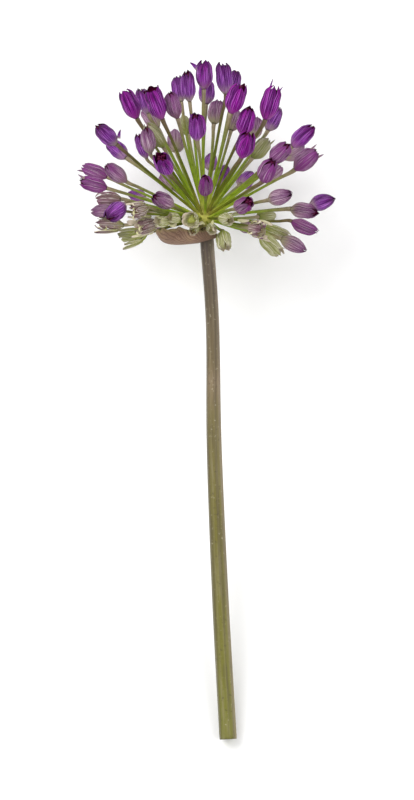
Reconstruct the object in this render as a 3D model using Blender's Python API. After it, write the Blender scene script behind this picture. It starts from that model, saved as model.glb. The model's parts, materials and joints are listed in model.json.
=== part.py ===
"""A cut allium flower head, lying on a table as it does once it is picked.

The head's lower florets rest on the table and hold the top of the scape (the flower
stalk) up, so the scape slopes down to its cut end, which rests on the table too.

The flower is laid out in its own frame, in millimetres, and then laid down:
  u runs across the head, v along the scape towards the head, w out of the head's
  upper face. The point 0, 0, 0 is the middle of the receptacle, where the pedicels meet.
The row frame is in metres: +Z up, +Y towards the head, with the origin on the table
under the middle of the whole flower.
"""

import math

import bmesh
import bpy
import numpy as np
from mathutils import Vector

MM = 0.001

# Driving dimensions, in millimetres and degrees.
SCAPE_TILT = 10.6
CUT_V = -182.4
CUT_RADIUS = 3.05
RECEPTACLE_RADIUS = 3.5
PEDICEL_RADIUS = 0.58
PEDICEL_TOP_RADIUS = 0.85
SPATHE_THICKNESS = 0.5
SPATHE_MIDDLE, SPATHE_SWEEP = 20.0, 255.0
SPATHE_FOOT_RADIUS = 3.15
SPATHE_RIM_RADIUS, SPATHE_REACH = 4.4, 13.0

HEAD_HEIGHT = (
    -CUT_V * math.sin(math.radians(SCAPE_TILT))
    + CUT_RADIUS * math.cos(math.radians(SCAPE_TILT))
)

# Colour, roughness of each material.
MATERIALS = {
    "scape": ((0.22, 0.20, 0.07), 0.55),
    "spathe": ((0.25, 0.15, 0.10), 0.75),
    "floret_purple": ((0.18, 0.02, 0.23), 0.50),
    "floret_mauve": ((0.30, 0.17, 0.27), 0.55),
    "floret_green": ((0.26, 0.26, 0.10), 0.55),
}

# The scape's middle line below the receptacle: u, v, radius.
SCAPE_LINE = (
    (0.8, -5.0, 2.45),
    (3.0, -37.0, 2.35),
    (3.6, -80.0, 2.65),
    (5.8, -134.0, 2.90),
    (8.5, CUT_V, CUT_RADIUS),
)
SCAPE_STATIONS = 18
SCAPE_ROUNDNESS = 5

# The receptacle's rounded top, as v and radius, from its crown to where the scape begins.
RECEPTACLE_RINGS = (
    (3.40, 0.8),
    (2.90, 1.95),
    (2.00, 2.85),
    (0.80, 3.35),
    (-0.60, 3.40),
    (-1.90, 2.90),
    (-3.20, 2.55),
)

# Every floret, placed by hand. fan is its angle from the scape's line, seen from above
# the upper face, and reach is how far from the receptacle its bud starts in that view.
# lean is how far it leans up out of the fan. nod turns the bud from its pedicel's line.
# length and width are the bud's own.
PURPLE, MAUVE, GREEN = "floret_purple", "floret_mauve", "floret_green"
FLORETS = (
    # stage, fan, reach, lean, nod, length, width
    # the crown of the fan
    (PURPLE, 0, 45.0, 8, 0, 10.2, 5.7),
    (PURPLE, 1, 40.0, -24, 0, 10.0, 5.6),
    (PURPLE, -11, 41.5, -4, 0, 9.2, 5.0),
    (PURPLE, -7, 41.0, 10, 2, 10.8, 5.0),
    (MAUVE, -15, 36.0, 22, -2, 10.0, 5.4),
    (PURPLE, -23, 37.5, 25, 2, 12.0, 6.2),
    (PURPLE, -28, 41.5, -8, 10, 9.5, 5.2),
    (PURPLE, -34, 42.0, 6, 8, 10.8, 6.0),
    (PURPLE, 10, 44.0, -4, -16, 11.2, 5.6),
    (PURPLE, 13, 44.0, -14, -4, 9.5, 4.8),
    (PURPLE, 15, 37.7, 20, 3, 11.3, 6.5),
    (MAUVE, 6, 33.2, -22, 4, 9.2, 5.4),
    (PURPLE, 32, 40.5, 6, -16, 12.3, 6.3),
    (PURPLE, 36, 38.0, -14, -10, 9.5, 5.5),
    # the left shoulder
    (GREEN, -30, 28.5, 25, -6, 11.2, 5.0),
    (MAUVE, -40, 29.2, 32, 30, 10.6, 5.0),
    (PURPLE, -44, 29.0, 20, 25, 9.5, 4.4),
    (PURPLE, -50, 40.0, 10, 4, 9.8, 5.6),
    (PURPLE, -52, 34.5, -28, 4, 10.0, 5.4),
    (PURPLE, -67, 36.8, -10, 0, 9.6, 4.9),
    (PURPLE, -73, 35.6, 8, -1, 10.0, 5.2),
    (MAUVE, -65, 30.0, 20, 14, 10.0, 5.2),
    # the right shoulder
    (PURPLE, 24, 32.0, 20, -8, 10.4, 6.0),
    (PURPLE, 32, 24.8, 35, -16, 10.8, 6.4),
    (GREEN, 39, 27.0, 2, 0, 8.8, 5.4),
    (PURPLE, 51, 39.7, 6, -5, 10.5, 5.7),
    (MAUVE, 53, 35.0, -26, 4, 10.0, 5.2),
    (PURPLE, 50, 30.5, 30, -4, 10.0, 5.9),
    (PURPLE, 62, 36.0, 10, -12, 10.2, 6.3),
    (PURPLE, 58, 24.1, 40, -31, 10.2, 6.2),
    (MAUVE, 75, 23.5, 40, 0, 11.0, 5.4),
    (PURPLE, 83.5, 37.2, -8, -10, 9.8, 5.5),
    (MAUVE, 84.5, 30.5, 20, 12, 9.8, 5.4),
    # the lower right
    (PURPLE, 92, 30.7, -2, 22, 10.2, 4.8),
    (MAUVE, 105, 27.8, -8, 11, 10.2, 5.2),
    (GREEN, 106, 20.5, 16, 30, 10.8, 5.2),
    (GREEN, 99, 21.0, -16, 12, 11.0, 4.5),
    (MAUVE, 103, 16.3, 48, 0, 8.2, 5.4),
    (GREEN, 125, 8.0, 28, 47, 7.8, 5.2),
    # the lower left
    (MAUVE, -77, 29.8, -16, -14, 9.0, 5.0),
    (PURPLE, -80, 28.0, 28, -52, 9.5, 6.0),
    (GREEN, -95, 28.0, -10, 8, 10.0, 4.3),
    (MAUVE, -80, 20.0, 38, -30, 8.0, 4.9),
    (GREEN, -97, 16.5, 34, -5, 10.0, 5.6),
    (GREEN, -105, 20.7, -24, 1, 10.2, 4.8),
    # the upper face
    (PURPLE, -5, 27.2, 38, 3, 11.2, 6.0),
    (PURPLE, -39, 19.8, 46, 15, 10.0, 6.1),
    (MAUVE, -69, 11.7, 46, 6, 10.5, 5.4),
    (PURPLE, 3, 8.0, 52, -1, 10.5, 5.0),
    (PURPLE, 75, 11.7, 55, -13, 10.0, 5.4),
    # the underside, which the head rests on
    (MAUVE, -22, 25.6, -48, 15, 10.5, 5.8),
    (PURPLE, 7, 17.5, -56, 0, 9.5, 4.6),
    (PURPLE, 47, 17.5, -58, 0, 10.0, 5.4),
    (MAUVE, 58, 25.0, -44, -8, 10.5, 5.2),
    (MAUVE, -44, 15.0, -65, 0, 10.0, 5.4),
    (PURPLE, 24, 12.5, -70, 0, 10.0, 5.4),
    (MAUVE, -84, 19.0, -57, 0, 9.5, 5.2),
    (GREEN, 88, 19.0, -57, 0, 9.5, 5.0),
)

# The bud's outline: share of its length, share of its half width.
BUD_OUTLINE = (
    (0.08, 0.46),
    (0.20, 0.80),
    (0.40, 1.00),
    (0.62, 0.96),
    (0.82, 0.78),
    (0.94, 0.60),
    (1.00, 0.42),
)
PEDICEL_STATIONS = 6
BUD_SEGMENTS = 3
BUD_SEGMENT_RADII = (0.82, 1.0, 0.72)

# How the florets press each other apart.
PRESS_ROUNDS = 260
PRESS_GAP = 0.16
PRESS_SHARE = np.array((0.45, 0.45, 1.0))
REST_SHARE = 0.38  # how much of its radius a drooping bud reaches below its middle line
LOWEST_BASE_V = -2.0


def direction(fan, lean):
    """Unit vectors in the flower's frame, one for each fan and lean in degrees."""
    fan, lean = np.radians(fan), np.radians(lean)
    return np.stack(
        (np.sin(fan) * np.cos(lean), np.cos(fan) * np.cos(lean), np.sin(lean)), axis=-1
    )


def laid_down(points):
    """Points of the flower's frame, lying on the table, still in millimetres."""
    points = np.asarray(points, float)
    tilt = math.radians(SCAPE_TILT)
    u, v, w = points[..., 0], points[..., 1], points[..., 2]
    y = v * math.cos(tilt) - w * math.sin(tilt)
    z = HEAD_HEIGHT + v * math.sin(tilt) + w * math.cos(tilt)
    return np.stack((u, y, z), axis=-1)


def up_from_table():
    """The table's upward direction in the flower's frame."""
    tilt = math.radians(SCAPE_TILT)
    return np.array((0.0, math.sin(tilt), math.cos(tilt)))


def catmull_rom(points, stations):
    """A smooth run of stations through the points, which may hold any number of values."""
    points = np.asarray(points, float)
    ends = np.vstack((2 * points[0] - points[1], points, 2 * points[-1] - points[-2]))
    run = []
    for s in np.linspace(0, len(points) - 1, stations):
        i = min(int(s), len(points) - 2)
        t = s - i
        a, b, c, d = ends[i : i + 4]
        run.append(
            0.5
            * (
                2 * b
                + (c - a) * t
                + (2 * a - 5 * b + 4 * c - d) * t**2
                + (3 * b - a - 3 * c + d) * t**3
            )
        )
    return np.array(run)


def planned_controls():
    """Each floret's four control points: pedicel base, bend, bud start and bud tip."""
    fan, reach, lean, nod, length = (
        np.array([row[k] for row in FLORETS], float) for k in range(1, 6)
    )
    out = direction(fan, lean)
    base = out * (RECEPTACLE_RADIUS + 0.4)
    start = out * (reach / np.cos(np.radians(lean)))[:, None]
    tip = start + direction(fan + nod, lean) * length[:, None]
    sway = np.random.default_rng(11).uniform(-1.0, 1.0, base.shape)
    bend = base * 0.45 + start * 0.55 + sway
    return np.stack((base, bend, start, tip), axis=1)


def pedicel_weights(t):
    """How much each control point counts at a share t of the pedicel."""
    return np.stack(((1 - t) ** 2, 2 * t * (1 - t), t**2, 0 * t), axis=-1)


def bud_weights(s):
    """How much each control point counts at a share s of the bud."""
    return np.stack((0 * s, 0 * s, 1 - s, s), axis=-1)


def closest(p1, q1, p2, q2):
    """The shares along two sets of straight segments where they come closest."""
    d1, d2, r = q1 - p1, q2 - p2, p1 - p2
    a, e = (d1 * d1).sum(-1), (d2 * d2).sum(-1)
    b, c, f = (d1 * d2).sum(-1), (d1 * r).sum(-1), (d2 * r).sum(-1)
    denominator = np.maximum(a * e - b * b, 1e-9)
    s = np.clip((b * f - c * e) / denominator, 0, 1)
    t = np.clip((b * s + f) / e, 0, 1)
    s = np.clip((b * t - c) / a, 0, 1)
    return s, t


class Bundle:
    """The florets as chains of short thick segments, which press each other apart."""

    def __init__(self, controls):
        self.controls = controls
        self.planned = controls.copy()
        count = len(controls)
        widths = np.array([row[6] for row in FLORETS])
        ends = np.linspace(0, 1, PEDICEL_STATIONS)
        bud_ends = np.linspace(0, 1, BUD_SEGMENTS + 1)
        low = [pedicel_weights(np.array(t)) for t in ends[:-1]]
        high = [pedicel_weights(np.array(t)) for t in ends[1:]]
        low += [bud_weights(np.array(t)) for t in bud_ends[:-1]]
        high += [bud_weights(np.array(t)) for t in bud_ends[1:]]
        self.low, self.high = np.array(low), np.array(high)
        segments = len(low)
        self.radius = np.full((count, segments), PEDICEL_RADIUS)
        self.radius[:, PEDICEL_STATIONS - 2] = PEDICEL_TOP_RADIUS
        self.radius[:, -BUD_SEGMENTS:] = np.outer(widths / 2, BUD_SEGMENT_RADII)
        floret = np.repeat(np.arange(count), segments)
        segment = np.tile(np.arange(segments), count)
        first, second = np.triu_indices(count * segments, 1)
        apart = floret[first] != floret[second]
        first, second = first[apart], second[apart]
        self.florets = floret[first], floret[second]
        self.segments = segment[first], segment[second]

    def push(self, moves, florets, weights, shift):
        share = weights / (weights**2).sum(-1)[:, None]
        np.add.at(moves, florets, share[:, :, None] * shift[:, None, :])

    def press(self):
        """One round: pushes touching florets apart, and all of them off the table."""
        moves = np.zeros_like(self.controls)
        low = np.einsum("sk,fkx->fsx", self.low, self.controls)
        high = np.einsum("sk,fkx->fsx", self.high, self.controls)
        (fa, fb), (sa, sb) = self.florets, self.segments
        mid = (low + high) / 2
        half = np.linalg.norm(high - low, axis=-1) / 2 + self.radius
        near = np.linalg.norm(mid[fa, sa] - mid[fb, sb], axis=-1) < (
            half[fa, sa] + half[fb, sb] + PRESS_GAP
        )
        fa, fb, sa, sb = fa[near], fb[near], sa[near], sb[near]
        s, t = closest(low[fa, sa], high[fa, sa], low[fb, sb], high[fb, sb])
        here = low[fa, sa] + (high - low)[fa, sa] * s[:, None]
        there = low[fb, sb] + (high - low)[fb, sb] * t[:, None]
        gap = np.linalg.norm(here - there, axis=-1)
        short = self.radius[fa, sa] + self.radius[fb, sb] + PRESS_GAP - gap
        hit = short > 0
        away = (here - there)[hit] / np.maximum(gap[hit], 1e-6)[:, None]
        shift = away * PRESS_SHARE * (0.5 * short[hit])[:, None]
        for florets, segments, share, sign in ((fa, sa, s, 0.5), (fb, sb, t, -0.5)):
            f, g, x = florets[hit], segments[hit], share[hit][:, None]
            weights = self.low[g] * (1 - x) + self.high[g] * x
            self.push(moves, f, weights, shift * sign)
        sunk = self.radius * REST_SHARE - laid_down(high)[..., 2]
        f, g = np.nonzero(sunk > 0)
        self.push(moves, f, self.high[g], up_from_table() * (0.6 * sunk[f, g])[:, None])
        self.controls += moves
        return short.max(initial=0.0)

    def hold(self):
        """Keeps each base on the receptacle and each bud its own length."""
        base = self.controls[:, 0]
        base[:, 1] = np.maximum(base[:, 1], LOWEST_BASE_V)
        base *= ((RECEPTACLE_RADIUS + 0.4) / np.linalg.norm(base, axis=1))[:, None]
        start, tip = self.controls[:, 2], self.controls[:, 3]
        along = tip - start
        length = np.array([row[5] for row in FLORETS])
        tip[:] = start + along * (length / np.linalg.norm(along, axis=1))[:, None]
        drift = (self.planned - self.controls)[:, 2:, :2]
        self.controls[:, 2:, :2] += 0.02 * drift


def settled_controls():
    bundle = Bundle(planned_controls())
    for _ in range(PRESS_ROUNDS):
        bundle.press()
        bundle.hold()
    return bundle.controls


def material(name):
    colour, roughness = MATERIALS[name]
    made = bpy.data.materials.new(name)
    made.use_nodes = True
    shader = made.node_tree.nodes["Principled BSDF"]
    shader.inputs["Base Color"].default_value = (*colour, 1.0)
    shader.inputs["Roughness"].default_value = roughness
    shader.inputs["Metallic"].default_value = 0.0
    return made


def turned_tube(name, path, radii, roundness, finish):
    """A closed tube along the path, in table millimetres, with its own radius at each point."""
    origin = Vector(path[0])
    curve = bpy.data.curves.new(name, "CURVE")
    curve.dimensions = "3D"
    curve.bevel_depth = MM
    curve.bevel_resolution = roundness
    curve.use_fill_caps = True
    spline = curve.splines.new("POLY")
    spline.points.add(len(path) - 1)
    for point, place, radius in zip(spline.points, path, radii):
        point.co = (*((Vector(place) - origin) * MM), 1.0)
        point.radius = radius
    curve.materials.append(finish)
    tube = bpy.data.objects.new(name, curve)
    tube.location = origin * MM
    bpy.context.scene.collection.objects.link(tube)
    return tube


def build_scape(finish):
    """The flower stalk with the receptacle that the pedicels grow from, as one piece."""
    crown = [(0.0, v, radius) for v, radius in RECEPTACLE_RINGS]
    rings = np.vstack((crown, catmull_rom(SCAPE_LINE, SCAPE_STATIONS)))
    path = np.stack((rings[:, 0], rings[:, 1], 0 * rings[:, 0]), axis=-1)
    return turned_tube("scape", laid_down(path), rings[:, 2], SCAPE_ROUNDNESS, finish)


def build_floret(number, row, controls, finish):
    """One flower bud on its pedicel, which comes away from the receptacle as one piece."""
    length, width = row[5], row[6]
    t = np.linspace(0, 1, PEDICEL_STATIONS)
    pedicel = pedicel_weights(t) @ controls
    slender = PEDICEL_RADIUS * (0.84 + 0.16 * np.clip(4 * t, 0, 1))
    slender[-1] = PEDICEL_TOP_RADIUS
    shares, outline = np.array(BUD_OUTLINE).T
    bud = bud_weights(shares) @ controls
    path = laid_down(np.vstack((pedicel, bud)))
    radii = np.concatenate((slender, outline * width / 2))
    return turned_tube(f"floret_{number:02d}", path, radii, 1, finish)


def spathe_point(turn, share):
    """A point of the papery bract. turn goes round the scape from the left side, over
    the upper side to the right, and share goes from the scape out to the rim."""
    spread = SPATHE_RIM_RADIUS + SPATHE_REACH * max(0.0, math.cos(turn)) ** 1.6
    foot = -7.9 - 0.9 * math.cos(turn)
    rim = -5.0 + 0.6 * math.cos(turn) + 0.9 * math.sin(turn)
    arc = share * math.pi / 2
    radius = SPATHE_FOOT_RADIUS + (spread - SPATHE_FOOT_RADIUS) * math.sin(arc) ** 0.9
    sag = 0.9 * math.sin(math.pi * share) * max(0.0, math.cos(turn))
    v = foot + (rim - foot) * (1 - math.cos(arc)) ** 1.2 - sag
    return 0.9 - radius * math.cos(turn), v, radius * math.sin(turn)


def build_spathe(finish):
    """The split sheath that had covered the buds, now a cup under the head's left side."""
    turns, shares = 22, 7
    mesh = bmesh.new()
    bmesh.ops.create_grid(mesh, x_segments=turns, y_segments=shares, size=0.5)
    for vertex in mesh.verts:
        turn = math.radians(SPATHE_MIDDLE + SPATHE_SWEEP * vertex.co.x)
        place = spathe_point(turn, vertex.co.y + 0.5)
        vertex.co = Vector(laid_down(place)) * MM
    bmesh.ops.recalc_face_normals(mesh, faces=mesh.faces)
    data = bpy.data.meshes.new("spathe")
    mesh.to_mesh(data)
    mesh.free()
    data.materials.append(finish)
    spathe = bpy.data.objects.new("spathe", data)
    bpy.context.scene.collection.objects.link(spathe)
    wall = spathe.modifiers.new("paper thickness", "SOLIDIFY")
    wall.thickness = SPATHE_THICKNESS * MM
    wall.offset = 0.0
    wall.use_even_offset = True
    return spathe


def stand_on_origin(objects):
    """Moves the flower so that the origin is on the table under the middle of its box."""
    bpy.context.view_layer.update()
    graph = bpy.context.evaluated_depsgraph_get()
    corners = []
    for thing in objects:
        evaluated = thing.evaluated_get(graph)
        mesh = evaluated.to_mesh()
        corners += [evaluated.matrix_world @ vertex.co for vertex in mesh.vertices]
        evaluated.to_mesh_clear()
    low = Vector([min(c[k] for c in corners) for k in range(3)])
    high = Vector([max(c[k] for c in corners) for k in range(3)])
    shift = Vector(((low.x + high.x) / 2, (low.y + high.y) / 2, low.z))
    for thing in objects:
        thing.location -= shift


def main():
    for old in list(bpy.data.objects):
        bpy.data.objects.remove(old, do_unlink=True)
    finishes = {name: material(name) for name in MATERIALS}
    parts = [build_scape(finishes["scape"]), build_spathe(finishes["spathe"])]
    for number, (row, controls) in enumerate(zip(FLORETS, settled_controls()), 1):
        parts.append(build_floret(number, row, controls, finishes[row[0]]))
    stand_on_origin(parts)


main()
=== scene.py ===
"""The looks of a cut allium flower that lies on a pale table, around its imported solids.

The flower has a frame of its own, in millimetres: u runs across the head, v along the
scape towards the head, w out of the head's upper face, and 0, 0, 0 is the middle of the
receptacle, where the pedicels meet. Pieces are shaped there, and lay_down() puts them
where the solids lie.
"""

import json
import math
from functools import partial

import bmesh
import bpy
import numpy as np
from mathutils import Matrix, Vector


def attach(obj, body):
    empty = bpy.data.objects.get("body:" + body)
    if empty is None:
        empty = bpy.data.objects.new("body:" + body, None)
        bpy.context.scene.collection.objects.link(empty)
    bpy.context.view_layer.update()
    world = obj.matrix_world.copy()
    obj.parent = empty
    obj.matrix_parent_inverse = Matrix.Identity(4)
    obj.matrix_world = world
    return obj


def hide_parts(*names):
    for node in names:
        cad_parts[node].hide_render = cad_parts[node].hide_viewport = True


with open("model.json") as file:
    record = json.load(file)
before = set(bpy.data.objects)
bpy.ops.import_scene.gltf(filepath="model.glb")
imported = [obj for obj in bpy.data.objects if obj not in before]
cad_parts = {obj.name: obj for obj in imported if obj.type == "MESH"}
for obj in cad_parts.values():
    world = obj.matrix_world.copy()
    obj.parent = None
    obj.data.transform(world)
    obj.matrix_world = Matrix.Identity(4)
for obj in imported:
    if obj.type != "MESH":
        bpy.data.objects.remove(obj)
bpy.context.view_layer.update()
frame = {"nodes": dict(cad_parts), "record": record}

MM = 0.001
# How the solids are made: the sides of their rings, and places counted in rings, from the
# receptacle's top down the scape and from the receptacle out to a floret's tip.
SCAPE_SIDES = 14
FLORET_SIDES = 6
NECK_RING = 6
PEDICEL_RINGS = 6
WIDEST_RING = 8
# How far the receptacle's top stands above its middle, and how far the scape tilts.
CROWN_V = 3.4
SCAPE_TILT = math.radians(10.6)
# The share of the scape's skin that is its side: the rest is its cut face.
SHAFT = 0.94
RIBS = 11
TEPAL_VEINS = 7
# The way out of the head's upper face, in the flower's own frame.
FACE_OUT = np.array((0.0, 0.0, 1.0))

# The finishes of the florets: the first three are slots of the record as well.
PURPLE, MAUVE, GREEN = "floret_purple", "floret_mauve", "floret_green"
WILTED, PALE = "wilted", "pale"


# The frame: the flower's own axes, and the middle line of each solid.


def tube_rings(node, near, sides):
    """The middle and radius of each ring of a tube, from its end nearest to a place."""
    mesh = bmesh.new()
    mesh.from_mesh(frame["nodes"][node].data)
    bmesh.ops.remove_doubles(mesh, verts=mesh.verts, dist=1e-6)
    ring = set(sorted(mesh.verts, key=lambda v: (v.co - near).length)[:sides])
    seen, rings = set(), []
    while ring:
        middle = sum((v.co for v in ring), Vector()) / len(ring)
        radius = sum((v.co - middle).length for v in ring) / len(ring)
        rings.append((*middle, radius))
        seen |= ring
        ring = {edge.other_vert(v) for v in ring for edge in v.link_edges} - seen
    mesh.free()
    return np.array(rings) / MM


# A place far past the receptacle, in line with the scape.
beyond_crown = Vector((0, math.cos(SCAPE_TILT), math.sin(SCAPE_TILT)))
scape_rings = tube_rings("scape", beyond_crown, SCAPE_SIDES)
# The flower's axes and its middle, in the table's frame.
U = np.array((1.0, 0.0, 0.0))
V = scape_rings[0, :3] - scape_rings[NECK_RING, :3]
V /= np.linalg.norm(V)
W = np.cross(U, V)
HEART = scape_rings[0, :3] - V * CROWN_V
AXES = np.stack((U, V, W))


def stood_up(points):
    """Points of the table's frame, in millimetres, in the flower's frame."""
    return (points - HEART) @ AXES.T


def lay_down(points):
    """Points of the flower's frame where they lie on the table, in metres."""
    return (HEART + points @ AXES) * MM


def unit(vector):
    return vector / np.linalg.norm(vector, axis=-1, keepdims=True)


def through(t, stops):
    """A smooth curve through the stops, each a place and one or more values."""
    stops = np.asarray(stops, float)
    x, y = stops[:, 0], stops[:, 1:]
    slope = np.gradient(y, x, axis=0)
    t = np.clip(t, x[0], x[-1])
    i = np.clip(np.searchsorted(x, t) - 1, 0, len(x) - 2)
    h = (x[i + 1] - x[i])[..., None]
    q = (t[..., None] - x[i][..., None]) / h
    value = (
        (2 * q**3 - 3 * q**2 + 1) * y[i]
        + (q**3 - 2 * q**2 + q) * h * slope[i]
        + (3 * q**2 - 2 * q**3) * y[i + 1]
        + (q**3 - q**2) * h * slope[i + 1]
    )
    return value[..., 0] if value.shape[-1] == 1 else value


# Materials.

# A Mix node's sockets for its two colours and its result.
FIRST_COLOUR = 6
SECOND_COLOUR = 7
MIXED_COLOUR = 2


def srgb(red, green, blue):
    """A colour as it looks, from 0 to 255, as the shader wants it."""
    share = np.array((red, green, blue)) / 255
    linear = np.where(share > 0.04045, ((share + 0.055) / 1.055) ** 2.4, share / 12.92)
    return (*linear, 1.0)


class Shade:
    """A socket of a material, which Python's operators do shader maths on."""

    def __init__(self, nodes, socket):
        self.nodes, self.socket = nodes, socket

    def node(self, kind, values=(), out=0, **settings):
        """Any node: its settings first, then the values or links of its sockets."""
        made = self.nodes.new(kind)
        stops = settings.pop("stops", None)
        for setting, value in settings.items():
            setattr(made, setting, value)
        if stops:
            ramp = made.color_ramp
            while len(ramp.elements) < len(stops):
                ramp.elements.new(1.0)
            for element, (place, colour) in zip(ramp.elements, stops):
                element.position, element.color = place, colour
        pairs = values.items() if isinstance(values, dict) else enumerate(values)
        for key, value in pairs:
            if isinstance(value, Shade):
                self.nodes.id_data.links.new(value.socket, made.inputs[key])
            else:
                made.inputs[key].default_value = value
        return Shade(self.nodes, made.outputs[out])

    def maths(self, operation, *values):
        return self.node("ShaderNodeMath", values, operation=operation)

    def __add__(self, other):
        return self.maths("ADD", self, other)

    __radd__ = __add__

    def __sub__(self, other):
        return self.maths("SUBTRACT", self, other)

    def __rsub__(self, other):
        return self.maths("SUBTRACT", other, self)

    def __mul__(self, other):
        return self.maths("MULTIPLY", self, other)

    __rmul__ = __mul__

    def __abs__(self):
        return self.maths("ABSOLUTE", self)

    def wave(self, turns, shift=0.0):
        """0 to 1 and back, this many times over one unit."""
        return 0.5 - 0.5 * self.maths("COSINE", (self + shift) * (2 * math.pi * turns))

    def rise(self, low, high):
        """0 below low, 1 above high, and smooth in between."""
        values = {"Value": self, "From Min": low, "From Max": high}
        return self.node("ShaderNodeMapRange", values, interpolation_type="SMOOTHSTEP")

    def ramp(self, *stops):
        """A colour for this value, from stops that each have a place and a colour."""
        stops = [(place, srgb(*colour)) for place, colour in stops]
        return self.node("ShaderNodeValToRGB", (self,), stops=stops)

    def tint(self, colour, share, blend="MIX"):
        """This colour with a share of another mixed in."""
        if not isinstance(colour, Shade):
            colour = srgb(*colour)
        values = {0: share, FIRST_COLOUR: self, SECOND_COLOUR: colour}
        settings = {"data_type": "RGBA", "blend_type": blend}
        return self.node("ShaderNodeMix", values, out=MIXED_COLOUR, **settings)

    def noise(self, scale, detail):
        """Noise over a vector, from 0 to 1."""
        values = {"Vector": self, "Scale": scale, "Detail": detail, "Roughness": 0.55}
        return self.node("ShaderNodeTexNoise", values)


class Finish:
    """A material in the making: its shader and the coordinates its patterns follow."""

    def __init__(self, name, roughness, **constants):
        self.material = bpy.data.materials.new(name)
        self.material.use_nodes = True
        nodes = self.material.node_tree.nodes
        self.shader = nodes["Principled BSDF"]
        self.shader.inputs["Roughness"].default_value = roughness
        for socket, value in constants.items():
            self.shader.inputs[socket.replace("_", " ")].default_value = value
        start = Shade(nodes, None)
        self.place = start.node("ShaderNodeTexCoord", out="Object")
        lay = start.node("ShaderNodeUVMap", uv_map="lay")
        self.across = start.node("ShaderNodeSeparateXYZ", (lay,), out="X")
        self.along = Shade(nodes, self.across.socket.node.outputs["Y"])
        self.tone = start.node("ShaderNodeAttribute", out="Fac", attribute_name="tone")
        self.kind = start.node("ShaderNodeAttribute", out="Fac", attribute_name="kind")

    def streaks(self, round_scale, along_scale, seed=0.0):
        """A vector whose noise is drawn out along the piece, with no seam round a tube,
        and changes with the piece's tone."""
        turn = self.across * (2 * math.pi)
        values = (
            turn.maths("COSINE", turn) * round_scale + self.tone * 7.3,
            turn.maths("SINE", turn) * round_scale + seed,
            self.along * along_scale + self.tone * 3.1,
        )
        return turn.node("ShaderNodeCombineXYZ", values)

    def wear(self, colour, height, strength, depth, glow=0.0):
        """Gives the shader its colour, its relief, which is depth millimetres deep, and glow:
        its colour given off as painted light, for the light that comes through it from
        behind."""
        links = self.material.node_tree.links
        links.new(colour.socket, self.shader.inputs["Base Color"])
        values = {"Strength": strength, "Distance": depth * MM, "Height": height}
        bump = height.node("ShaderNodeBump", values)
        links.new(bump.socket, self.shader.inputs["Normal"])
        if glow:
            links.new(colour.socket, self.shader.inputs["Emission Color"])
            self.shader.inputs["Emission Strength"].default_value = glow
        return self.material


def tepal_finish(name, stops, vein, margin, patch, vivid, under, rough, contrast, rim=None):
    """A tepal's outer face, from foot to tip, with streaks of painted sheen, light bands of
    painted highlight, dark bands that are partly stripes and partly painted shade, veins and
    a rim: a dark line of painted shade in the crease where tepals overlap, unless rim gives
    it another colour. margin colours the pale margins and the painted sheen and highlights.
    It is vivid where its tone is high, and under is the inner whorl, whose kind is 1."""
    finish = Finish(name, rough, Specular_IOR_Level=0.08)
    across, along = finish.across, finish.along
    drift = finish.streaks(1.6, 2.0).noise(1.8, 2.0)
    fine = finish.streaks(9.0, 2.5, 4.0).noise(1.6, 3.0)
    silk = finish.streaks(13.0, 1.5, 9.0).noise(1.7, 2.0)
    bands = finish.streaks(4.0, 0.9, 17.0).noise(1.3, 1.0)
    broad = finish.place.noise(260.0, 2.0)
    aside = abs(across - 0.5)
    body = along.rise(0.12, 0.4)
    deep = finish.tone.rise(0.35, 0.95)
    # Where the painted sheen and highlights show: less on deep tones and towards the tip.
    shine = (1 - deep * 0.5) * (1 - along.rise(0.62, 0.92) * 0.75)

    colour = (along + (drift - 0.5) * (1.05 - along) * 0.4).ramp(*stops)
    colour = colour.tint(patch, broad.rise(0.42, 0.72) * 0.45)
    colour = colour.tint(vivid, deep * 0.85)
    colour = colour.tint(under, finish.kind * body * 0.55)

    # Painted sheen along silk-like streaks and painted highlights in the light bands, both in
    # the margin colour; the dark bands, in the vein colour, are partly the tepals' own
    # stripes and partly painted shade.
    silk_sheen = silk.rise(0.56, 0.72) * along.rise(0.1, 0.3)
    colour = colour.tint(margin, silk_sheen * shine * 0.6)
    colour = colour.tint(margin, (1 - bands.rise(0.38, 0.47)) * body * shine * 0.8)
    colour = colour.tint(vein, bands.rise(0.50, 0.58) * body * contrast)

    lines = across.wave(TEPAL_VEINS, 0.5 / TEPAL_VEINS).rise(0.45, 1.0)
    midrib = 1 - aside.rise(0.0, 0.07)
    veins = lines * fine.rise(0.30, 0.60) * along.rise(0.06, 0.3)
    colour = colour.tint(vein, veins * contrast)
    colour = colour.tint(vein, midrib * along.rise(0.15, 0.8) * contrast)
    colour = colour.tint(vein, fine.rise(0.52, 0.74) * contrast * 0.7)

    pale = aside.rise(0.40, 0.45) * (1 - aside.rise(0.465, 0.49))
    colour = colour.tint(margin, pale * (1 - along.rise(0.8, 0.95)) * 0.35)
    # The rim: a dark line, painted shade of the crease where tepals overlap; the withered
    # finishes have a whitish rim here instead.
    colour = colour.tint(rim or vein, aside.rise(0.44, 0.49) * 0.9)
    height = lines * 0.5 + midrib * 0.6 + fine * 0.8 + silk * 0.5
    return finish.wear(colour, height, strength=0.6, depth=0.14)


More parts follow.
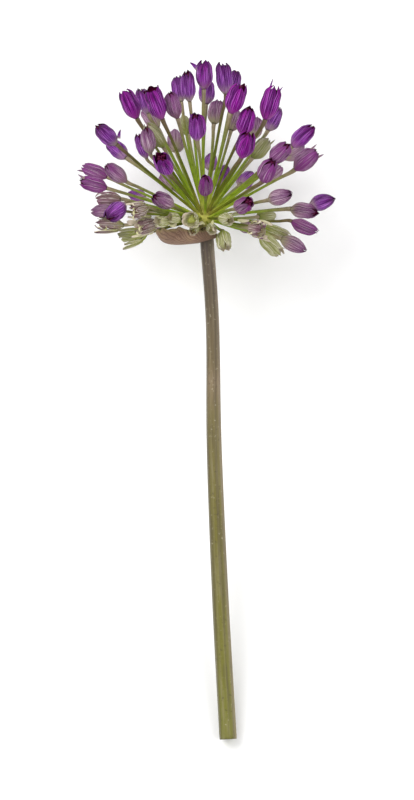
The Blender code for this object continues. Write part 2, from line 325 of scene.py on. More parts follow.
def plain_finish(name, stops, streak, rough, shade_strength=0.0, glow=0.0):
    """A finish that runs through its stops along the piece, with streaks and mottling.
    Where its tone is high, the piece is darker and browner by painted shade, as if it lay in
    shadow, as much as the shade's strength says; glow makes it give off painted light."""
    finish = Finish(name, rough, Specular_IOR_Level=0.15)
    drift = finish.streaks(2.2, 3.0).noise(1.4, 2.0)
    fine = finish.streaks(6.0, 5.0, 2.0).noise(1.5, 4.0)
    spots = finish.place.noise(500.0, 3.0)
    colour = (finish.along + (drift - 0.5) * 0.25).ramp(*stops)
    colour = colour.tint(streak, fine.rise(0.48, 0.72) * 0.6)
    colour = colour.tint((205, 205, 190), spots.rise(0.4, 0.7) * 0.7, "MULTIPLY")
    # Painted shade, a little brown, where the tone is high.
    shade = finish.tone.rise(0.55, 0.85) * shade_strength
    colour = colour.tint((150, 122, 104), shade, "MULTIPLY")
    return finish.wear(colour, fine + spots * 0.5, strength=0.5, depth=0.08, glow=glow)


FINISHES = {
    PURPLE: tepal_finish(
        "purple tepal",
        (
            (0.00, (178, 168, 146)),
            (0.13, (166, 138, 152)),
            (0.32, (140, 72, 164)),
            (0.55, (132, 40, 156)),
            (0.76, (110, 18, 116)),
            (0.90, (72, 8, 64)),
            (1.00, (38, 8, 34)),
        ),
        vein=(44, 2, 56),
        margin=(202, 130, 220),
        patch=(160, 80, 188),
        vivid=(160, 8, 158),
        under=(92, 8, 104),
        rough=0.45,
        contrast=0.85,
    ),
    MAUVE: tepal_finish(
        "mauve tepal",
        (
            (0.00, (160, 154, 116)),
            (0.16, (160, 146, 128)),
            (0.42, (162, 122, 146)),
            (0.74, (136, 80, 130)),
            (0.92, (92, 42, 82)),
            (1.00, (54, 22, 46)),
        ),
        vein=(74, 34, 70),
        margin=(210, 186, 200),
        patch=(156, 126, 140),
        vivid=(132, 36, 132),
        under=(124, 78, 122),
        rough=0.55,
        contrast=0.6,
    ),
    GREEN: tepal_finish(
        "green tepal",
        (
            (0.00, (118, 128, 56)),
            (0.35, (140, 142, 84)),
            (0.70, (160, 156, 116)),
            (0.92, (176, 168, 152)),
            (1.00, (110, 84, 86)),
        ),
        vein=(90, 98, 38),
        margin=(208, 204, 182),
        patch=(152, 144, 112),
        vivid=(130, 122, 94),
        under=(124, 124, 70),
        rough=0.55,
        contrast=0.55,
    ),
    WILTED: tepal_finish(
        "wilted tepal",
        (
            (0.00, (136, 140, 72)),
            (0.26, (152, 142, 108)),
            (0.56, (166, 142, 138)),
            (0.78, (138, 98, 116)),
            (1.00, (76, 36, 56)),
        ),
        vein=(78, 48, 52),
        margin=(236, 226, 218),
        patch=(146, 128, 110),
        vivid=(146, 96, 128),
        under=(128, 98, 102),
        rough=0.6,
        contrast=0.8,
        rim=(240, 232, 222),
    ),
    PALE: tepal_finish(
        "pale tepal",
        (
            (0.00, (134, 152, 44)),
            (0.30, (158, 162, 86)),
            (0.60, (180, 178, 130)),
            (0.88, (208, 202, 176)),
            (1.00, (160, 140, 132)),
        ),
        vein=(104, 110, 40),
        margin=(232, 228, 206),
        patch=(160, 158, 104),
        vivid=(156, 152, 104),
        under=(148, 150, 84),
        rough=0.6,
        contrast=0.65,
        rim=(240, 236, 212),
    ),
}

LINING = plain_finish(
    "tepal lining",
    (
        (0.00, (130, 90, 104)),
        (0.45, (132, 28, 104)),
        (0.80, (110, 10, 66)),
        (1.00, (70, 8, 42)),
    ),
    streak=(76, 6, 42),
    rough=0.55,
)
# A pale lining that glows a little: painted light for the light that shines through thin
# tepals.
PALE_LINING = plain_finish(
    "pale tepal lining",
    (
        (0.00, (190, 190, 132)),
        (0.60, (208, 202, 172)),
        (1.00, (196, 180, 168)),
    ),
    streak=(160, 146, 110),
    rough=0.55,
    glow=0.15,
)
# Stalks whose tone is high are darker by painted shade, as if they lay in shadow.
PEDICEL = plain_finish(
    "pedicel",
    (
        (0.00, (222, 218, 122)),
        (0.10, (200, 212, 84)),
        (0.26, (150, 176, 34)),
        (0.50, (128, 150, 38)),
        (0.74, (132, 136, 74)),
        (0.88, (142, 132, 96)),
        (1.00, (160, 146, 124)),
    ),
    streak=(84, 74, 32),
    rough=0.5,
    shade_strength=0.65,
)
RECEPTACLE = plain_finish(
    "receptacle",
    (
        (0.00, (222, 218, 118)),
        (0.60, (204, 200, 100)),
        (0.80, (150, 140, 86)),
        (1.00, (96, 80, 66)),
    ),
    streak=(150, 158, 60),
    rough=0.55,
)

OVARY_TONE = 1.4


def stamen_finish():
    """Filaments, from purple to pale with their tone, anthers with a little pollen, whose
    kind is 1, and the green ovary, whose tone is the highest."""
    finish = Finish("stamen", 0.6, Specular_IOR_Level=0.12)
    grain = finish.place.noise(2500.0, 3.0)
    colour = finish.along.ramp((0.0, (150, 118, 130)), (1.0, (150, 30, 110)))
    colour = colour.tint((76, 6, 46), finish.kind.rise(0.3, 0.7))
    pollen = grain.rise(0.55, 0.7) * finish.kind
    colour = colour.tint((120, 54, 62), pollen * 0.40)
    colour = colour.tint((176, 174, 112), finish.tone.rise(0.0, 1.0) * 0.85)
    colour = colour.tint((164, 174, 84), finish.tone.rise(1.1, 1.3) * 0.9)
    return finish.wear(colour, grain, strength=0.5, depth=0.06)


def scape_finish():
    """A ribbed stalk that turns from grey mauve to olive green, with painted light down one
    side and painted shade down the other, a cloudy bloom, dots and specks, and a cut face
    with a dark rim round its pale pith."""
    finish = Finish("scape", 0.5, Specular_IOR_Level=0.35, Sheen_Weight=0.12)
    across, along = finish.across, finish.along
    long = finish.streaks(1.2, 6.0).noise(1.5, 3.0)
    fine = finish.streaks(7.0, 9.0, 5.0).noise(2.0, 4.0)
    wide = finish.streaks(2.6, 3.0, 8.0).noise(1.2, 2.0)
    cloud = finish.streaks(1.0, 9.0, 11.0).noise(1.4, 4.0)
    spots = finish.place.noise(900.0, 2.0)
    ribs = (across + (long - 0.5) * 0.05).wave(RIBS)
    # Round the stalk: 1 on the side given painted light, 0 on the side given painted shade.
    right = across.wave(1.0, 0.5)

    colour = (along + (long - 0.5) * 0.06).ramp(
        (0.00, (74, 60, 54)),
        (0.10, (80, 67, 60)),
        (0.26, (92, 78, 56)),
        (0.355, (108, 93, 62)),
        (0.385, (126, 108, 82)),
        (0.45, (108, 97, 56)),
        (0.60, (106, 99, 38)),
        (0.90, (110, 109, 32)),
        (1.00, (112, 110, 40)),
    )
    # Painted light down one side of the stalk, and painted shade down the other.
    colour = colour.tint((150, 132, 112), right.rise(0.70, 1.0) * 0.55)
    colour = colour.tint((62, 54, 34), (1 - right.rise(0.02, 0.22)) * 0.55)
    colour = colour.tint((156, 146, 120), cloud.rise(0.52, 0.66) * 0.22)
    colour = colour.tint((66, 54, 42), (1 - cloud.rise(0.36, 0.48)) * 0.30)
    colour = colour.tint((150, 140, 108), ribs.rise(0.5, 1.0) * fine * 0.30)
    colour = colour.tint((72, 60, 42), wide.rise(0.50, 0.66) * 0.40)
    colour = colour.tint((84, 74, 34), fine.rise(0.5, 0.75) * 0.35)
    colour = colour.tint((180, 172, 146), spots.rise(0.64, 0.76) * 0.5)
    colour = colour.tint((58, 48, 34), (1 - spots.rise(0.26, 0.40)) * 0.5)

    pith = along.rise(SHAFT + 0.012, SHAFT + 0.022)
    face = spots.ramp((0.3, (140, 142, 80)), (0.7, (168, 166, 112)))
    face = face.tint((84, 82, 34), 1 - pith)
    colour = colour.tint(face, along.rise(SHAFT, SHAFT + 0.002))
    height = ribs * 0.6 + fine + spots * 0.3
    return finish.wear(colour, height, strength=0.5, depth=0.2)


def spathe_finish():
    """Dry brown paper with slanting veins, darker at its foot and paler at its rim."""
    finish = Finish("spathe", 0.7, Specular_IOR_Level=0.2)
    across, along = finish.across, finish.along
    drift = finish.place.noise(140.0, 3.0)
    grain = finish.place.noise(700.0, 3.0)
    slant = across * 38.0 + along * 5.0 + drift * 3.0
    veins = slant.wave(1.0)
    fine = slant.wave(3.0)
    colour = (drift * 1.2 - 0.1).ramp(
        (0.2, (120, 90, 76)),
        (0.5, (148, 118, 98)),
        (0.8, (168, 140, 108)),
    )
    colour = colour.tint((78, 50, 44), veins.rise(0.65, 1.0) * 0.65)
    colour = colour.tint((172, 150, 124), fine.rise(0.72, 1.0) * 0.45)
    colour = colour.tint((92, 66, 56), grain.rise(0.55, 0.75) * 0.4)
    colour = colour.tint((160, 146, 96), along.rise(0.86, 1.0) * 0.5)
    colour = colour.tint((86, 58, 48), (1 - along.rise(0.0, 0.3)) * 0.4)
    height = veins * 0.7 + fine * 0.4 + grain * 0.4
    return finish.wear(colour, height, strength=0.8, depth=0.3)


STAMEN = stamen_finish()
SCAPE = scape_finish()
SPATHE = spathe_finish()


# Shapes.


def put(name, data):
    """A new object in the scene."""
    made = bpy.data.objects.new(name, data)
    bpy.context.scene.collection.objects.link(made)
    return made


def inset(s, t, depth):
    """How far a lining lies inside the outer face: not at all at the margin."""
    return depth * (1 - s**6) * (1 - (2 * t - 1) ** 10)


class Growth:
    """One visible piece, grown from flat patches that are each bent into place."""

    def __init__(self, name, slot, *materials):
        self.name, self.slot, self.materials = name, slot, materials
        self.mesh = bmesh.new()
        self.mesh.loops.layers.uv.new("lay")
        self.tone = self.mesh.verts.layers.float.new("tone")
        self.kind = self.mesh.verts.layers.float.new("kind")

    def patch(self, across, along, shape, tone=0.0, kind=0.0, finish=0, inward=False):
        """Bends a flat patch: shape gives points of the flower's frame for places
        from -1 to 1 across and from 0 to 1 along."""
        verts = bmesh.ops.create_grid(
            self.mesh, x_segments=across, y_segments=along, size=0.5, calc_uvs=True
        )["verts"]
        flat = np.array([vert.co[:2] for vert in verts])
        bent = lay_down(shape(flat[:, 0] * 2, flat[:, 1] + 0.5))
        for vert, point in zip(verts, bent):
            vert.co = point
            vert[self.tone], vert[self.kind] = tone, kind
        faces = {face for vert in verts for face in vert.link_faces}
        for face in faces:
            face.material_index = finish
        if inward:
            bmesh.ops.reverse_faces(self.mesh, faces=list(faces))

    def blade(self, across, along, shape, wall, tone=0.0, kind=0.0, finishes=(0, 1)):
        """Bends an outer face and its lining, which meet at their margin."""
        front, back = finishes
        self.patch(across, along, shape, tone, kind, front)
        lining = partial(shape, depth=wall)
        self.patch(across, along, lining, tone, kind, back, inward=True)

    def grown(self, wall=0.0, nodes=()):
        """Ends the piece: closes its seams, and gives it a wall if it needs one."""
        bmesh.ops.remove_doubles(self.mesh, verts=self.mesh.verts, dist=0.003 * MM)
        for face in self.mesh.faces:
            face.smooth = True
        data = bpy.data.meshes.new(self.name)
        self.mesh.to_mesh(data)
        self.mesh.free()
        for material in self.materials:
            data.materials.append(material)
        piece = put(self.name, data)
        if wall:
            skin = piece.modifiers.new("wall", "SOLIDIFY")
            skin.thickness, skin.offset = wall * MM, 0.0
        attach(piece, "root")
        if nodes:
            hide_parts(*nodes)


def heading(line, t, step):
    """The direction of a line, which is a function of its share, at each t."""
    return unit(line(np.clip(t + step, 0, 1)) - line(np.clip(t - step, 0, 1)))


def tube(middle, radius, reference):
    """The shape of a patch rolled round a middle line, for Growth.patch."""

    def shape(s, t):
        run = heading(middle, t, 0.01)
        side = unit(np.cross(run, reference))
        turn = (s * math.pi)[:, None]
        out = side * np.cos(turn) + np.cross(run, side) * np.sin(turn)
        return middle(t) + radius(s, t)[:, None] * out

    return shape


def pod(foot, head, thick, lobes, ridge, reference):
    """The shape of a lobed pod between its two ends: an ovary or an anther."""

    def radius(s, t):
        lobed = 1 + ridge * np.cos(lobes * math.pi * s)
        return thick * np.sin(math.pi * t) ** 0.6 * lobed

    return tube(lambda t: foot + (head - foot) * t[:, None], radius, reference)


class Floret:
    """A flower bud on its pedicel: side points to its left, and front out of the face."""

    def __init__(self, name, stage, habit, line, tip, half_width, mouth, nodes=()):
        self.name, self.stage, self.nodes = name, stage, nodes
        self.look, self.loose, self.vivid = habit
        self.line, self.start, self.tip = line, line[-1], tip
        self.half_width, self.mouth = half_width, mouth
        self.axis = unit(tip - self.start)
        self.length = float(np.linalg.norm(tip - self.start))
        face = np.array((0.0, 1.0, 0.0)) if abs(self.axis[2]) > 0.9 else FACE_OUT
        self.side = unit(np.cross(face, self.axis))
        self.front = np.cross(self.axis, self.side)

    def point(self, height, radius, angle):
        """A place by its height up the bud and its radius and angle round the axis."""
        return (
            self.start
            + self.axis * np.asarray(height)[..., None]
            + self.side * np.asarray(radius * np.cos(angle))[..., None]
            + self.front * np.asarray(radius * np.sin(angle))[..., None]
        )


# How far each floret has opened, from 0, shut, to 1, wide open, in the nodes' order.
MOUTHS = (
    *(0.55, 0.30, 0.55, 0.62, 0.40, 0.95, 0.50, 0.58, 0.60, 0.55),
    *(0.52, 0.50, 0.42, 0.25, 0.30, 0.35, 0.35, 0.42, 0.30, 0.50),
    *(0.48, 0.35, 0.52, 0.45, 0.50, 0.42, 0.30, 0.48, 0.46, 0.42),
    *(0.12, 0.02, 0.50, 0.22, 0.03, 0.65, 0.40, 0.95, 0.60, 0.65),
    *(0.60, 0.45, 0.55, 0.85, 0.70, 0.45, 0.75, 0.30, 0.32, 0.48),
    *(0.40, 0.30, 0.40, 0.35, 0.30, 0.35, 0.30, 0.30),
)
# The finish, the looseness of the tepals and the depth of colour of the florets that
# differ from their slot's usual ones, by their numbers.
HABITS = {
    **{number: (PURPLE, 0.2, 0.9) for number in (6, 8, 11, 13, 23, 24)},
    **{number: (PURPLE, 0.2, 0.55) for number in (1, 26, 46, 47)},
    **{number: (PURPLE, 0.2, 0.1) for number in (2, 3, 4, 9, 10, 14)},
    **{number: (MAUVE, 0.3, 0.85) for number in (20, 21, 28, 29, 30, 34, 49)},
    **{number: (WILTED, 1.0, 0.3) for number in (42, 43, 44)},
    **{number: (PALE, 0.5, 0.3) for number in (36, 37, 39)},
    33: (MAUVE, 0.4, 0.1),
    35: (MAUVE, 0.1, 0.0),
    38: (WILTED, 0.8, 0.6),
    40: (WILTED, 0.6, 0.6),
    41: (PURPLE, 0.5, 0.3),
    45: (PALE, 1.0, 0.0),
    50: (MAUVE, 0.5, 0.6),
}
USUAL_LOOSENESS = 0.2

# Florets that hang between the others: stage, fan to the right, reach, lean out of the
# head's face, how far the bud nods past its pedicel, length, width, and how open it is.
BETWEEN = (
    (MAUVE, -27, 35.5, -30, -8, 10.0, 5.0, 0.35),
    (GREEN, -10.5, 30.0, -38, -5, 8.5, 4.4, 0.40),
    (MAUVE, 17, 32.3, -38, 0, 10.0, 5.0, 0.40),
    (MAUVE, 32, 33.0, -32, -25, 9.0, 4.9, 0.45),
    (PURPLE, -71, 22.0, -48, 0, 8.5, 4.4, 0.40),
    (MAUVE, -85, 31.0, -4, -8, 8.5, 4.4, 0.60),
    (PURPLE, 5, 12.0, -62, 0, 8.5, 4.6, 0.35),
    (MAUVE, -98, 13.0, -48, 0, 8.5, 4.6, 0.35),
    (MAUVE, 101, 13.0, -50, 0, 8.5, 4.6, 0.30),
)
# The small wilted ones on short pedicels, low on the head's upper face.
LOW_FRONT = (
    (GREEN, 90, 8.0, 60, 20, 10.0, 4.2, 0.60),
    (GREEN, -93, 8.6, 56, 10, 7.0, 3.6, 0.85),
    (GREEN, -98, 5.2, 64, -12, 5.0, 5.2, 1.0),
    (GREEN, -140, 3.2, 64, 0, 4.4, 3.2, 0.95),
    (GREEN, 145, 3.0, 66, 6, 4.6, 3.4, 1.0),
    (GREEN, -97, 13.5, 44, 10, 6.5, 3.8, 0.8),
)
# What is added to their lean, in degrees, to find where each is least crowded.
LIFTS = (0, -4, 4, -8, 8, -12)
# Their pedicels start this far from the middle of the receptacle, and bend by this much.
PEDICEL_START = 3.6
PEDICEL_BEND = np.array((0.4, -0.5, 0.3))
# A pedicel takes this much room beside a bud, and buds give a little where they press.
PEDICEL_ROOM = 0.5
GIVE = 0.85


def read_florets():
    """Every floret that the frame holds."""
    slots = {part["node"]: part["material_slot"] for part in frame["record"]["subparts"]}
    found = []
    for node in sorted(frame["nodes"]):
        if not node.startswith("floret"):
            continue
        number = int(node[-2:])
        rings = tube_rings(node, Vector(HEART * MM), FLORET_SIDES)
        line = stood_up(rings[:PEDICEL_RINGS, :3])
        tip = stood_up(rings[-1, :3])
        usual = slots[node], USUAL_LOOSENESS, 0.1 * (number % 6)
        habit = HABITS.get(number, usual)
        size = rings[WIDEST_RING, 3], MOUTHS[number - 1]
        found.append(Floret(node, slots[node], habit, line, tip, *size, (node,)))
    return found


def planned_floret(name, row, lift, habit):
    """A floret from its row, with its lean lifted by some degrees."""
    stage, fan, reach, lean, nod, length, width, mouth = row

    def ray(turn):
        turn, rise = math.radians(turn), math.radians(lean + lift)
        flat = math.cos(rise)
        return np.array((math.sin(turn) * flat, math.cos(turn) * flat, math.sin(rise)))

    out = ray(fan)
    start = out * reach / math.cos(math.radians(lean))
    base = out * PEDICEL_START
    bend = base * 0.45 + start * 0.55 + PEDICEL_BEND
    t = np.linspace(0, 1, PEDICEL_RINGS)[:, None]
    line = base * (1 - t) ** 2 + bend * (2 * t * (1 - t)) + start * t**2
    tip = start + ray(fan + nod) * length
    return Floret(name, stage, habit, line, tip, width / 2, mouth)


def crowding(floret, others):
    """How far the bud would sink into its nearest neighbour."""
    share = np.linspace(0.05, 0.95, 7)[:, None]
    mine = floret.start + (floret.tip - floret.start) * share
    worst = -1.0
    for other in others:
        theirs = other.start + (other.tip - other.start) * share
        gap = np.linalg.norm(mine[:, None] - theirs[None], axis=-1).min()
        worst = max(worst, GIVE * (floret.half_width + other.half_width) - gap)
        gap = np.linalg.norm(mine[:, None] - other.line[None], axis=-1).min()
        worst = max(worst, GIVE * floret.half_width + PEDICEL_ROOM - gap)
    return worst


def fill_between(florets):
    """Adds the florets past the frame's own, each where it is least crowded."""
    rows = [(row, (row[0], USUAL_LOOSENESS, 0.3)) for row in BETWEEN]
    rows += [(row, (PALE, 0.35, 0.0)) for row in LOW_FRONT]
    for number, (row, habit) in enumerate(rows, 1):
        name = f"filler_{number:02d}"
        tries = [planned_floret(name, row, lift, habit) for lift in LIFTS]
        florets.append(min(tries, key=lambda floret: round(crowding(floret, florets), 1)))
    return florets


# The places of a bloom's four finishes.
OUTER, INNER, STALK, INSIDE = range(4)
# Each sub-part of a bloom adds its own number to the bloom's seed.
PEDICEL_SEED = 1000
STAMEN_SEED = 3000
WITHERED_SEED = 5000

# How wide a bud is along its length, up to its shoulder.
BUD_PROFILE = ((0.0, 0.28), (0.05, 0.42), (0.12, 0.63), (0.23, 0.87), (0.38, 1.0))
# How far round the bud a tepal reaches to each side, from its foot to its tip.
TEPAL_SPREAD = (
    (0.0, 0.62),
    (0.30, 0.82),
    (0.60, 0.80),
    (0.80, 0.66),
    (0.92, 0.44),
    (1.0, 0.07),
)
# The inner whorl's width, as a share of the outer one's.
INNER_WHORL = 0.87
TEPAL_WALL = 0.14
STRAP_WALL = 0.1


def tepal_shape(floret, turn, inner, random):
    """One tepal: a boat-shaped blade that wraps its share of the bud. The more open the
    bud, the wider its lip and its shoulder, and the looser, the less regular."""
    mouth, loose = floret.mouth, floret.loose
    size = floret.half_width * (INNER_WHORL if inner else 1.0)
    tall = floret.length * (1.0 + random.uniform(-0.10, 0.04) * (mouth + 0.1 + loose))
    lip = (0.04 + 0.95 * mouth**1.2) * random.uniform(0.86, 1.14)
    lip += loose * random.uniform(-0.30, 0.45)
    shoulder = 0.50 + 0.50 * mouth**0.5 + loose * random.uniform(-0.12, 0.20)
    profile = BUD_PROFILE + ((0.62, 0.93 + 0.06 * mouth), (0.84, shoulder), (1.0, lip))
    twist = random.uniform(-0.12, 0.12) * (1 + 2.5 * loose)
    ripple = random.uniform(0, 2 * math.pi)
    hook = random.uniform(-0.16, 0.10) * (1 + 2.0 * loose)
    ruffle = 0.02 + 0.09 * loose
    slim = 1 - 0.34 * loose
    blunt = 0.22 * mouth + 0.30 * max(0.0, mouth - 0.75) / 0.25

    def shape(s, t, depth=0.0):
        keel = 1 + 0.10 * np.cos(s * math.pi / 2) - 0.05 * s**2
        keel += ruffle * s**2 * np.sin((11 + 9 * loose) * t + ripple + 2 * s)
        end = np.clip((t - 0.86) / 0.14, 0, 1)
        radius = size * (through(t, profile) * keel + hook * end**2)
        radius = radius - inset(s, t, depth)
        angle = turn + s * slim * (through(t, TEPAL_SPREAD) + blunt * t**3) + twist * t**2
        return floret.point(tall * (t - 0.02 * s**2 * t), radius, angle)

    return shape


def grow_tepals(bloom, floret, seed):
    """Six tepals in two whorls."""
    random = np.random.default_rng(seed)
    spin = random.uniform(0, 2 * math.pi / 3)
    for number in range(6):
        inner = number % 2
        shape = tepal_shape(floret, spin + number * math.pi / 3, inner, random)
        tone = floret.vivid + random.uniform(-0.15, 0.25)
        bloom.blade(12, 22, shape, TEPAL_WALL, tone, inner)


# A floret that is more open than this shows its stamens, and a looser one than this has
# withered tepals.
STAMENS_SHOW = 0.28
TEPALS_WITHER = 0.6
# How pale the stamens of a floret past its prime are: they have lost their anthers.
FADED = {PALE: 1.0, WILTED: 0.5}
ANTHER_HALF_LENGTH = 0.8


def filament_radius(s, t):
    return 0.18 * (1 - 0.4 * t) * np.clip((1 - t) / 0.03, 0, 1) ** 0.5


def grow_stamens(bloom, floret, seed):
    """Six filaments and the style inside an open floret: a fresh one has its anthers, and
    one whose tepals are pale has a swollen ovary."""
    random = np.random.default_rng(STAMEN_SEED + seed)
    tall, wide = floret.length, floret.half_width
    pale = FADED.get(floret.look, 0.0)
    if floret.look == PALE:
        foot, head = (floret.point(tall * height, 0.0, 0.0) for height in (0.12, 0.62))
        ovary = pod(foot, head, 0.62 * wide, 3, 0.16, floret.side)
        bloom.patch(18, 12, ovary, OVARY_TONE, finish=INSIDE)
    for number in range(7):
        style = number == 6
        angle = number * math.pi / 3 + random.uniform(-0.3, 0.3)
        top = tall * (random.uniform(0.90, 1.02) if style else random.uniform(0.76, 0.88))
        spread = 0.0 if style else wide * (0.24 + 0.16 * floret.mouth)
        foot, head = floret.point(0.8, 0.3, angle), floret.point(top, spread, angle)
        bow = floret.point(top * 0.6, spread * 1.3, angle)
        stops = np.column_stack(((0.0, 0.5, 1.0), np.stack((foot, bow, head))))
        filament = tube(partial(through, stops=stops), filament_radius, floret.side)
        bloom.patch(6, 10, filament, pale, finish=INSIDE)
        if style or floret.look in FADED:
            continue
        lean = unit(floret.axis + 0.5 * floret.side * random.uniform(-1, 1))
        across = unit(np.cross(lean, (0.3, 0.5, 0.8)))
        half = ANTHER_HALF_LENGTH * lean
        anther = pod(head - half, head + half, 0.20 * wide, 2, 0.18, across)
        bloom.patch(8, 8, anther, pale, 1.0, INSIDE)


def strap(stops, width, flat, foot):
    """The shape of a slim withered tepal along its stops, wide along flat."""
    stops = np.column_stack((np.linspace(0, 1, len(stops)), stops))
    line = partial(through, stops=stops)

    def shape(s, t, depth=0.0):
        run = heading(line, t, 0.02)
        side = unit(flat - run * (run @ flat)[:, None])
        out = np.cross(side, run)
        half = width / 2 * np.sin(math.pi * (foot + (1 - foot) * t)) ** 0.8
        lift = 0.22 * width * s**2 - inset(s, t, depth)
        return line(t) + side * (s * half)[:, None] + out * lift[:, None]

    return shape


def add_strap(bloom, stops, width, flat, tone, foot=0.10, finishes=(OUTER, INNER)):
    """One withered tepal, with both its faces: foot is 0.5 if its foot is its widest."""
    shape = strap(np.array(stops), width, np.array(flat, float), foot)
    bloom.blade(6, 18, shape, STRAP_WALL, tone, 0.0, finishes)


# Stray tips: floret, width, then from and to, each a share of the bud's length, a share of
# its half width and an angle round it, from 0 on its left to pi on its right.
FLICKS = (
    (1, 1.6, (0.70, 0.80, 0.3), (0.93, 1.75, 0.1)),
    (12, 0.7, (0.84, 0.60, 3.0), (1.14, 0.85, 3.1)),
    (13, 0.7, (0.86, 0.50, 0.2), (1.22, 0.45, 0.3)),
    (13, 0.6, (0.84, 0.60, 2.9), (1.06, 0.90, 2.9)),
    (18, 1.3, (0.10, 0.75, 2.8), (0.26, 1.70, 3.1)),
    (20, 0.9, (0.84, 0.50, 0.3), (1.12, 0.85, 0.3)),
    (21, 0.9, (0.84, 0.50, 2.6), (1.12, 0.75, 2.8)),
    (25, 0.7, (0.78, 0.60, 3.0), (1.14, 0.80, 3.1)),
    (25, 0.7, (0.80, 0.60, 0.3), (1.08, 0.70, 0.3)),
    (29, 0.8, (0.84, 0.55, 0.2), (1.16, 0.60, 0.2)),
    (29, 0.8, (0.86, 0.60, 3.0), (1.12, 0.80, 3.0)),
    (46, 0.7, (0.84, 0.60, 0.3), (1.12, 0.80, 0.2)),
)


def grow_flicks(bloom, floret):
    """The tips of tepals that have come away from their bud."""
    for number, width, root, end in FLICKS:
        if floret.name != f"floret_{number:02d}":
            continue
        size = np.array((floret.length, floret.half_width, 1.0))
        root, end = np.array(root) * size, np.array(end) * size
        middle = (root + end) / 2 + np.array((0.2, 0.0, 0.0))
        stops = [floret.point(*place) for place in (root, middle, end)]
        flat = np.cross(stops[2] - stops[0], FACE_OUT)
        add_strap(bloom, stops, width, flat, 0.0, 0.5, (OUTER, OUTER))


def bent_tepal(bloom, floret, random):
    """A withered tepal that bends out of the mouth."""
    tall, wide = floret.length, floret.half_width
    angle = random.uniform(0, 2 * math.pi)
    swing = angle + random.uniform(-0.4, 0.4)
    high, far = random.uniform(0.92, 1.10), random.uniform(1.25, 1.6)
    stops = (
        floret.point(tall * 0.20, wide * 0.85, angle),
        floret.point(tall * 0.55, wide * 1.10, angle),
        floret.point(tall * 0.85, wide * 1.20, (angle + swing) / 2),
        floret.point(tall * high, wide * far, swing),
    )
    flat = np.cross(floret.axis, stops[1] - floret.point(tall * 0.55, 0.0, 0.0))
    add_strap(bloom, stops, random.uniform(1.8, 2.8), flat, random.uniform(0, 0.6))


def curled_tepal(bloom, floret, side, random):
    """A small withered curl on the upper side of the bud, to its left or right."""
    tall, wide = floret.length, floret.half_width
    middle = floret.point(
        tall * random.uniform(0.35, 0.95),
        wide * random.uniform(0.2, 0.9),
        math.pi / 2 + side * random.uniform(0.3, 1.3),
    )
    start, sweep = random.uniform(0, 2 * math.pi), random.uniform(3.0, 4.4)
    turns = start + np.linspace(0, sweep, 8)
    ring = random.uniform(0.9, 1.5) * np.linspace(1.0, 0.75, 8)
    stops = (
        middle
        + np.outer(np.cos(turns) * ring, floret.axis)
        + np.outer(np.sin(turns) * ring * 0.8, floret.side)
        + np.outer(np.sin(turns * 0.7) * 0.4, floret.front)
    )
    flat = floret.front + 0.5 * floret.side * random.uniform(-1, 1)
    width = random.uniform(0.9, 1.5)
    add_strap(bloom, stops, width, flat, 0.0, 0.2, (INNER, INNER))


def grow_withered(bloom, floret, seed):
    """Slim tepals that bend and curl out of a floret past its prime."""
    random = np.random.default_rng(WITHERED_SEED + seed)
    for _ in range(3):
        bent_tepal(bloom, floret, random)
    for side in (-1, 1, -1, 1, -1):
        curled_tepal(bloom, floret, side, random)


# Curls of withered tepals in front of the receptacle: middle, ring size, start, sweep,
# width and tilt.
CURLS = (
    ((-3.3, -2.3, 10.6), (1.5, 1.2), 190, 200, 2.0, (-0.5, 0.7)),
    ((-0.9, -2.8, 9.8), (1.3, 1.3), 20, 150, 1.8, (0.4, -0.7)),
    ((3.7, -2.7, 9.6), (1.2, 2.3), 120, 160, 1.9, (0.7, 0.2)),
    ((-10.9, -1.9, 9.8), (1.5, 1.3), 200, 200, 1.8, (-0.5, 0.6)),
    ((-13.6, -2.6, 9.4), (1.6, 1.0), 20, 170, 1.8, (-0.6, -0.5)),
    ((11.8, 0.9, 12.8), (2.8, 1.0), 20, 150, 1.9, (0.4, 0.8)),
    ((14.0, -0.6, 12.2), (2.4, 0.9), 190, 150, 1.9, (-0.4, 0.8)),
)


def grow_curls():
    """All the curls in front of the receptacle, as one piece."""
    curls = Growth("dome_curls", GREEN, FINISHES[PALE], PALE_LINING)
    for number, (middle, (wide, tall), start, sweep, width, tilt) in enumerate(CURLS):
        turns = np.radians(start + np.linspace(0, sweep, 9))
        tighten = np.linspace(1.0, 0.82, 9)
        ring = np.column_stack(
            (
                np.cos(turns) * wide * tighten,
                np.sin(turns) * tall * tighten,
                np.sin(turns + number) * 0.5,
            )
        )
        add_strap(curls, np.array(middle) + ring, width, (*tilt, 1.0), 0.2 + 0.05 * number)
    curls.grown()


# How far a pedicel reaches into the receptacle and into its bud, and its thickest.
PEDICEL_ROOT = 0.8
PEDICEL_TUCK = 0.9
PEDICEL_HALF_WIDTH = 0.54


